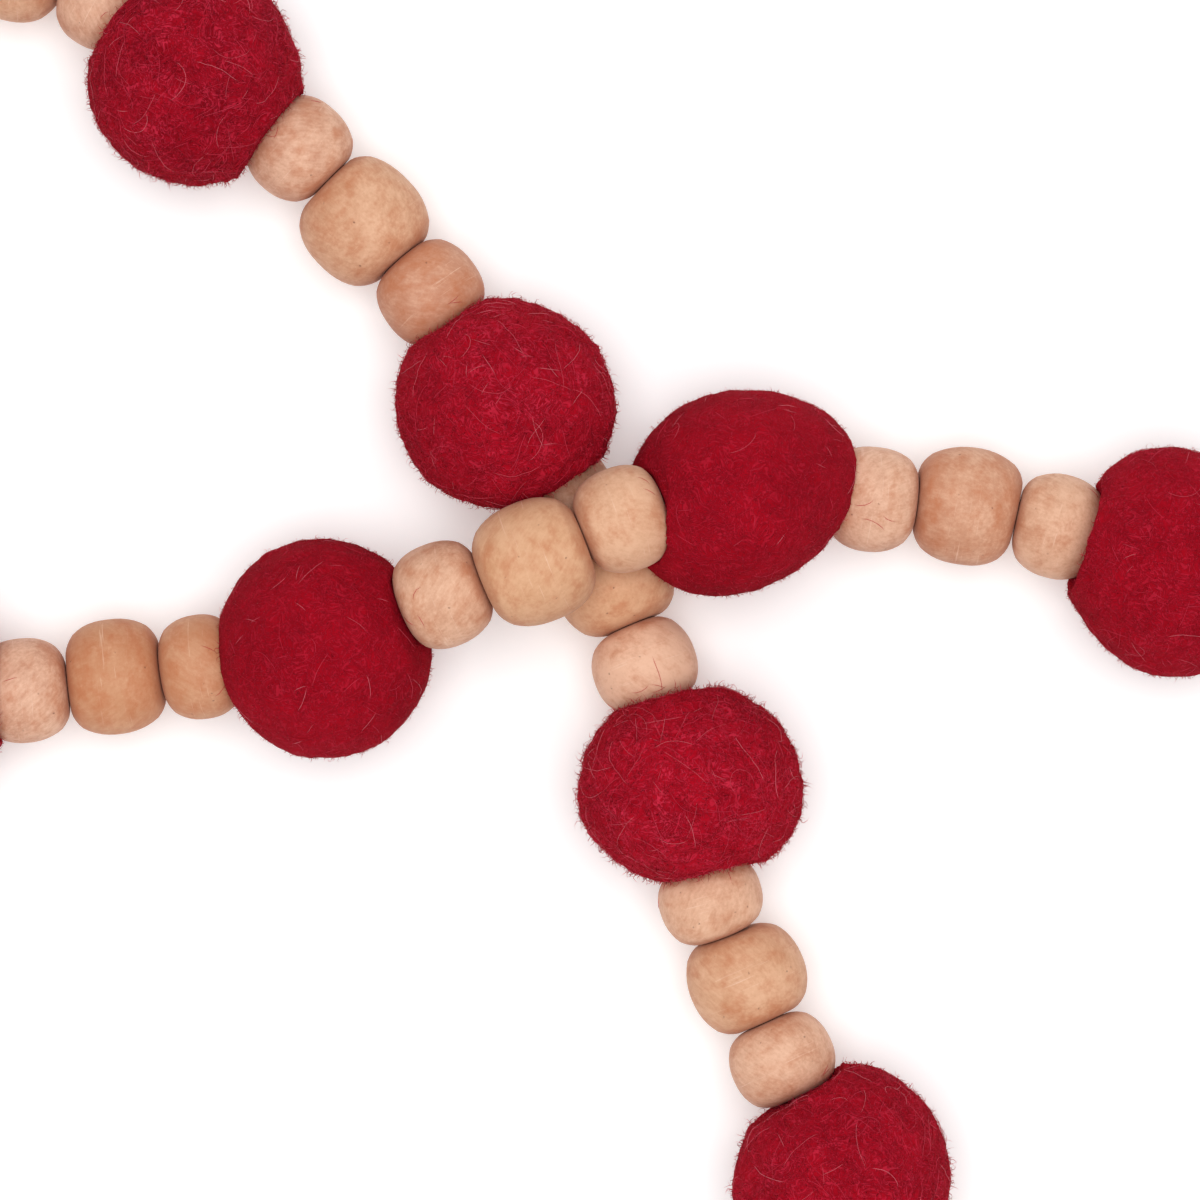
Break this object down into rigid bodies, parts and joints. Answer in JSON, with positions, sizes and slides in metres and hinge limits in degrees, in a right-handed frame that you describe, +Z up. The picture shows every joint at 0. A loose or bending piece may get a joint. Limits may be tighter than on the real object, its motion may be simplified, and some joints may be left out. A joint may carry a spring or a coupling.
{
  "type": "felt ball garland",
  "caption": "Garland of crimson wool felt balls with turned wooden beads between them on one string, lying in a loose loop that crosses itself, with a knotted hanging loop at each end.",
  "frame": {"origin": "the table surface under the middle of the box round the garland, its hanging loops left out", "axes": "+X along the longest side of the laid garland, towards the free end on the right; +Y towards the back of the table; +Z up from the table, along the garland's shortest side"},
  "size_m": [0.2691, 0.2012, 0.0279],
  "materials": {
    "wool_felt": "needle felt with a short loose nap",
    "wood": "bare, sanded, matte to satin",
    "string": "twisted cotton"
  },
  "bodies": {
    "root": {"felt_ball_01": "wool_felt", "felt_ball_02": "wool_felt", "felt_ball_03": "wool_felt", "felt_ball_04": "wool_felt", "felt_ball_05": "wool_felt", "felt_ball_06": "wool_felt", "felt_ball_07": "wool_felt", "felt_ball_08": "wool_felt", "felt_ball_09": "wool_felt", "felt_ball_10": "wool_felt", "felt_ball_11": "wool_felt", "small_bead_01": "wood", "small_bead_02": "wood", "small_bead_03": "wood", "small_bead_04": "wood", "small_bead_05": "wood", "small_bead_06": "wood", "small_bead_07": "wood", "small_bead_08": "wood", "small_bead_09": "wood", "small_bead_10": "wood", "small_bead_11": "wood", "small_bead_12": "wood", "small_bead_13": "wood", "small_bead_14": "wood", "small_bead_15": "wood", "small_bead_16": "wood", "small_bead_17": "wood", "small_bead_18": "wood", "small_bead_19": "wood", "small_bead_20": "wood", "small_bead_21": "wood", "small_bead_22": "wood", "large_bead_01": "wood", "large_bead_02": "wood", "large_bead_03": "wood", "large_bead_04": "wood", "large_bead_05": "wood", "large_bead_06": "wood", "large_bead_07": "wood", "large_bead_08": "wood", "large_bead_09": "wood", "large_bead_10": "wood", "string": "string", "knot_front": "string", "knot_right": "string", "loop_front": "string", "loop_right": "string"}
  },
  "joints": []
}
